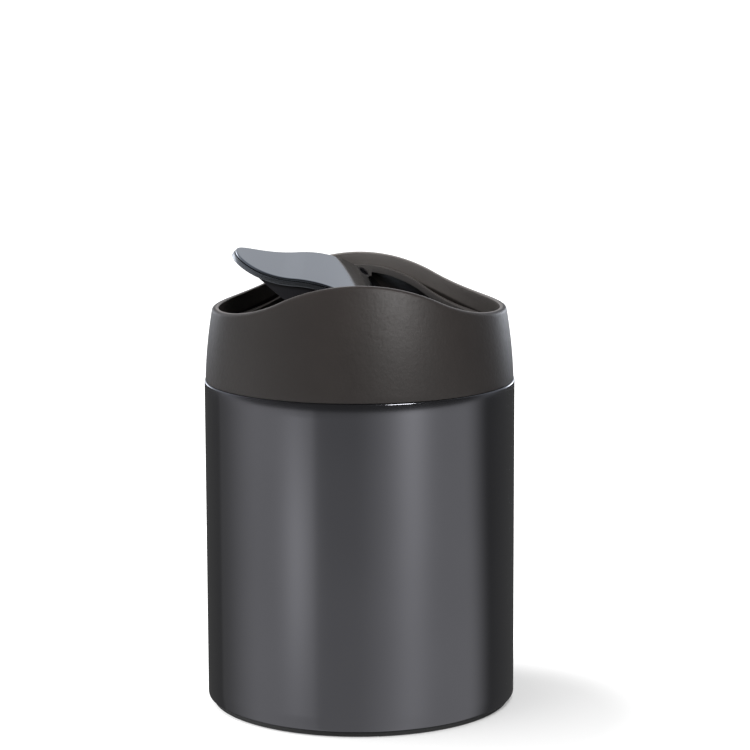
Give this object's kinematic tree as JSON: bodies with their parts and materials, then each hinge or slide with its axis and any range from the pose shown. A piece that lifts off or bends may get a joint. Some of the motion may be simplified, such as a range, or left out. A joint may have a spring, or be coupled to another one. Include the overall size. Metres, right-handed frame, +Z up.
{
  "type": "countertop waste bin with swing lid",
  "caption": "Small round steel countertop bin with a wave-rimmed collar that lifts off and an arched flap that swings to either side.",
  "frame": {"origin": "middle of the underside, on the surface the bin stands on", "axes": "+Z up; Y runs front to back along the flap's axle line, with the pictured front at -Y; +X is the side whose wing is pressed down"},
  "size_m": [0.124, 0.124, 0.1832],
  "materials": {
    "body_paint": "smooth gunmetal lacquer, semi-gloss",
    "bottom_steel": "plain galvanised sheet",
    "base_plastic": "black, fine grain",
    "collar_plastic": "warm black, fine moulded grain",
    "ring_plastic": "warm black, fine moulded grain",
    "flap_plastic": "gunmetal, semi-gloss",
    "flap_paint": "gunmetal lacquer, gloss",
    "pin_steel": "bright drawn wire"
  },
  "bodies": {
    "body": {"body_shell": "body_paint", "bottom_plate": "bottom_steel", "base_ring": "base_plastic"},
    "lid": {"collar": "collar_plastic", "pivot_ring": "ring_plastic"},
    "flap": {"flap_frame": "flap_plastic", "flap_cover": "flap_paint", "front_pivot_pin": "pin_steel", "back_pivot_pin": "pin_steel"}
  },
  "joints": [
    {"name": "lid_lift", "type": "slide", "parent": "body", "child": "lid", "axis": [0, 0, 1], "range_m": [0, 0.06]},
    {"name": "flap_swing", "type": "hinge", "parent": "lid", "child": "flap", "pos_m": [0, 0, 0.1652], "axis": [0, 1, 0], "range_deg": [-105.5, 34.5]}
  ]
}
